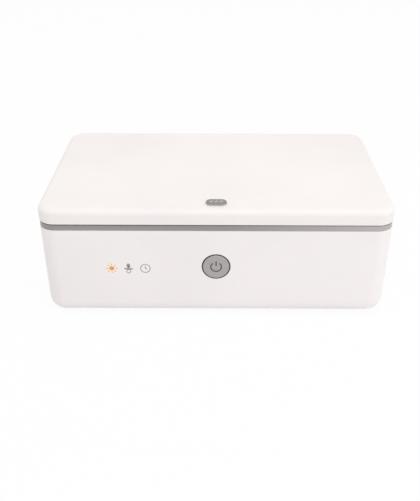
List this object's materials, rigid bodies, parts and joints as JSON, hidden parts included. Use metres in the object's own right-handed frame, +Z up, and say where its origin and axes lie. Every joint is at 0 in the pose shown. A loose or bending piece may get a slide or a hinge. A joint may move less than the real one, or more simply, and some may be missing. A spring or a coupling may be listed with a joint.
{
  "type": "pacifier sterilizer case",
  "caption": "Oblong hinged case that sterilises pacifiers with UV-C light: moulded tub and lid, satin trim band, steel-lined chamber with a wire rack, front push button.",
  "frame": {"origin": "middle of the footprint of tub and lid, on the plane that the feet stand on", "axes": "+X to the right as the front is faced, along the width; +Y from the front with the button to the back with the hinges; +Z up"},
  "size_m": [0.3, 0.18, 0.1079],
  "materials": {
    "white_shell": "fine satin-gloss moulded ABS",
    "white_inner": "matt moulded ABS",
    "satin_trim": "satin anodised",
    "satin_cap": "fine blasted and anodised",
    "dark_bezel": "dark satin",
    "smoked_lens": "smoked, polished",
    "liner_steel": "fine brushed stainless",
    "reflector_steel": "polished stainless",
    "rack_wire": "polished stainless wire",
    "screw_steel": "zinc plated",
    "hinge_steel": "satin stainless",
    "foot_rubber": "matt",
    "silicone": "matt translucent",
    "board": "solder mask",
    "lamp": "ceramic with a clear dome",
    "quartz": "polished quartz",
    "plug_housing": "moulded nylon",
    "black_package": "matt epoxy",
    "capacitor_can": "sleeved can",
    "lead_grey": "flat ribbon",
    "lead_red": "pair of wires",
    "magnet": "nickel plated",
    "reed_glass": "glass capsule"
  },
  "bodies": {
    "base": {"base_shell": "white_shell", "rubber_feet": "foot_rubber", "trim_band": "satin_trim", "chamber_liner": "liner_steel", "liner_screws": "screw_steel", "base_windows": "quartz", "base_led_board": "board", "base_led_screws": "screw_steel", "base_uv_leds": "lamp", "base_led_lead": "lead_grey", "main_board": "board", "main_board_screws": "screw_steel", "main_board_chips": "black_package", "main_board_capacitors": "capacitor_can", "main_board_connectors": "plug_housing", "dc_inlet": "black_package", "inlet_nut": "screw_steel", "inlet_lead": "lead_red", "button_bezel": "dark_bezel", "switch_body": "black_package", "switch_board": "board", "switch_screws": "screw_steel", "switch_lead": "lead_grey", "reed_switch": "reed_glass", "reed_lead": "lead_grey", "base_magnets": "magnet", "tub_hinge_leaves": "hinge_steel", "tub_hinge_screws": "screw_steel", "hinge_pins": "hinge_steel", "lid_harness": "lead_grey"},
    "lid": {"lid_hinge_leaves": "hinge_steel", "lid_hinge_screws": "screw_steel", "lid_shell": "white_shell", "lid_frame": "white_inner", "lid_frame_screws": "screw_steel", "lid_gasket": "silicone", "lid_reflector": "reflector_steel", "lid_windows": "quartz", "lid_led_board": "board", "lid_led_screws": "screw_steel", "lid_uv_leds": "lamp", "lid_connector": "plug_housing", "lid_magnets": "magnet", "reflector_screws": "screw_steel", "status_window": "smoked_lens", "status_leds": "lamp", "status_board": "board", "status_screws": "screw_steel", "status_lead": "lead_grey", "sensor_magnet": "magnet"},
    "button": {"power_button": "satin_cap", "switch_plunger": "black_package"},
    "rack": {"wire_rack": "rack_wire", "rack_loops": "rack_wire", "rack_feet": "silicone"}
  },
  "joints": [
    {"name": "lid_hinge", "type": "hinge", "parent": "base", "child": "lid", "pos_m": [0, 0.088, 0.09275], "axis": [-1, 0, 0], "range_deg": [0, 100], "deforming": ["lid_harness"]},
    {"name": "button_press", "type": "slide", "parent": "base", "child": "button", "axis": [0, 1, 0], "range_m": [0, 0.0008], "stiffness_N_per_m": 2500},
    {"name": "rack_lift", "type": "slide", "parent": "base", "child": "rack", "axis": [0, 0, 1], "range_m": [0, 0.04]}
  ]
}
